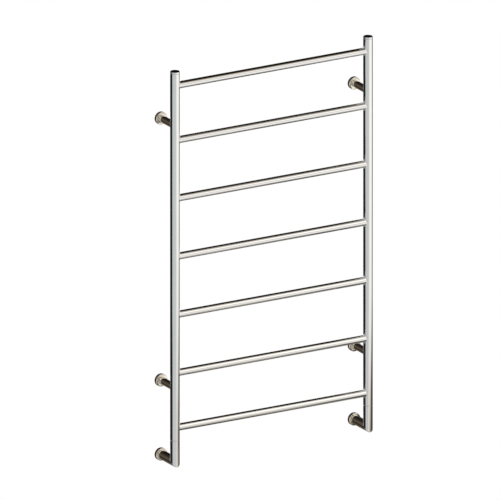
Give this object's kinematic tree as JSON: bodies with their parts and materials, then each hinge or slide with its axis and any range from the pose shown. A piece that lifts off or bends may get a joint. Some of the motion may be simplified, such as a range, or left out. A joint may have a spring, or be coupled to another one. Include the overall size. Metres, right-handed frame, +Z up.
{
  "type": "towel warmer rack",
  "caption": "Wall-mounted ladder towel warmer in polished steel tube, with straight wall arms and two mitred feet that hide the wiring.",
  "frame": {"origin": "on the wall plane, midway between the two elbow legs, at the height of their axes", "axes": "+Z up, +Y into the wall, +X to the right as seen from the front"},
  "size_m": [0.614, 0.0895, 1.087],
  "materials": {
    "polished_steel": "mirror-polished stainless steel with a faint brushed grain along the tube",
    "turned_steel": "turned stainless steel with fine lathe rings",
    "screw_steel": "dark oiled steel",
    "black_rubber": "matt moulded rubber",
    "heating_silicone": "red silicone jacket, satin",
    "brown_insulation": "brown wire insulation",
    "blue_insulation": "blue wire insulation",
    "green_insulation": "green wire insulation with a yellow stripe",
    "white_nylon": "natural white nylon",
    "black_sleeve": "black heat-shrink sleeve",
    "cutout_case": "drawn metal can",
    "tinned_brass": "tinned brass sheet"
  },
  "bodies": {
    "rack": {"left_post": "polished_steel", "right_post": "polished_steel", "rung_1": "polished_steel", "rung_2": "polished_steel", "rung_3": "polished_steel", "rung_4": "polished_steel", "rung_5": "polished_steel", "rung_6": "polished_steel", "rung_7": "polished_steel", "left_top_cap": "polished_steel", "right_top_cap": "polished_steel", "left_upper_arm": "polished_steel", "left_lower_arm": "polished_steel", "right_upper_arm": "polished_steel", "right_lower_arm": "polished_steel", "left_riser": "polished_steel", "right_riser": "polished_steel", "left_leg": "polished_steel", "right_leg": "polished_steel", "left_coupler": "turned_steel", "right_coupler": "turned_steel", "left_upper_boss": "turned_steel", "left_lower_boss": "turned_steel", "left_leg_boss": "turned_steel", "right_upper_boss": "turned_steel", "right_lower_boss": "turned_steel", "right_leg_boss": "turned_steel", "left_upper_grub": "screw_steel", "left_lower_grub": "screw_steel", "left_leg_grub": "screw_steel", "left_coupler_grub": "screw_steel", "right_upper_grub": "screw_steel", "right_lower_grub": "screw_steel", "right_leg_grub": "screw_steel", "right_coupler_grub": "screw_steel", "heating_cable": "heating_silicone", "cable_end_cap": "black_sleeve", "splice_sleeve": "black_sleeve", "thermal_cutout": "cutout_case", "live_lead": "brown_insulation", "neutral_lead": "blue_insulation", "earth_lead": "green_insulation", "terminal_block": "white_nylon", "earth_tag": "tinned_brass", "earth_screw": "screw_steel", "cable_grommet": "black_rubber", "blanking_plug": "black_rubber"},
    "sliding_left_upper_cover": {"left_upper_cover": "polished_steel", "left_upper_cover_ring": "black_rubber"},
    "sliding_left_lower_cover": {"left_lower_cover": "polished_steel", "left_lower_cover_ring": "black_rubber"},
    "sliding_left_leg_cover": {"left_leg_cover": "polished_steel", "left_leg_cover_ring": "black_rubber"},
    "sliding_right_upper_cover": {"right_upper_cover": "polished_steel", "right_upper_cover_ring": "black_rubber"},
    "sliding_right_lower_cover": {"right_lower_cover": "polished_steel", "right_lower_cover_ring": "black_rubber"},
    "sliding_right_leg_cover": {"right_leg_cover": "polished_steel", "right_leg_cover_ring": "black_rubber"}
  },
  "joints": [
    {"name": "left_upper_cover_slide", "type": "slide", "parent": "rack", "child": "sliding_left_upper_cover", "axis": [0, -1, 0], "range_m": [0, 0.05]},
    {"name": "left_lower_cover_slide", "type": "slide", "parent": "rack", "child": "sliding_left_lower_cover", "axis": [0, -1, 0], "range_m": [0, 0.05]},
    {"name": "left_leg_cover_slide", "type": "slide", "parent": "rack", "child": "sliding_left_leg_cover", "axis": [0, -1, 0], "range_m": [0, 0.05]},
    {"name": "right_upper_cover_slide", "type": "slide", "parent": "rack", "child": "sliding_right_upper_cover", "axis": [0, -1, 0], "range_m": [0, 0.05]},
    {"name": "right_lower_cover_slide", "type": "slide", "parent": "rack", "child": "sliding_right_lower_cover", "axis": [0, -1, 0], "range_m": [0, 0.05]},
    {"name": "right_leg_cover_slide", "type": "slide", "parent": "rack", "child": "sliding_right_leg_cover", "axis": [0, -1, 0], "range_m": [0, 0.05]}
  ]
}
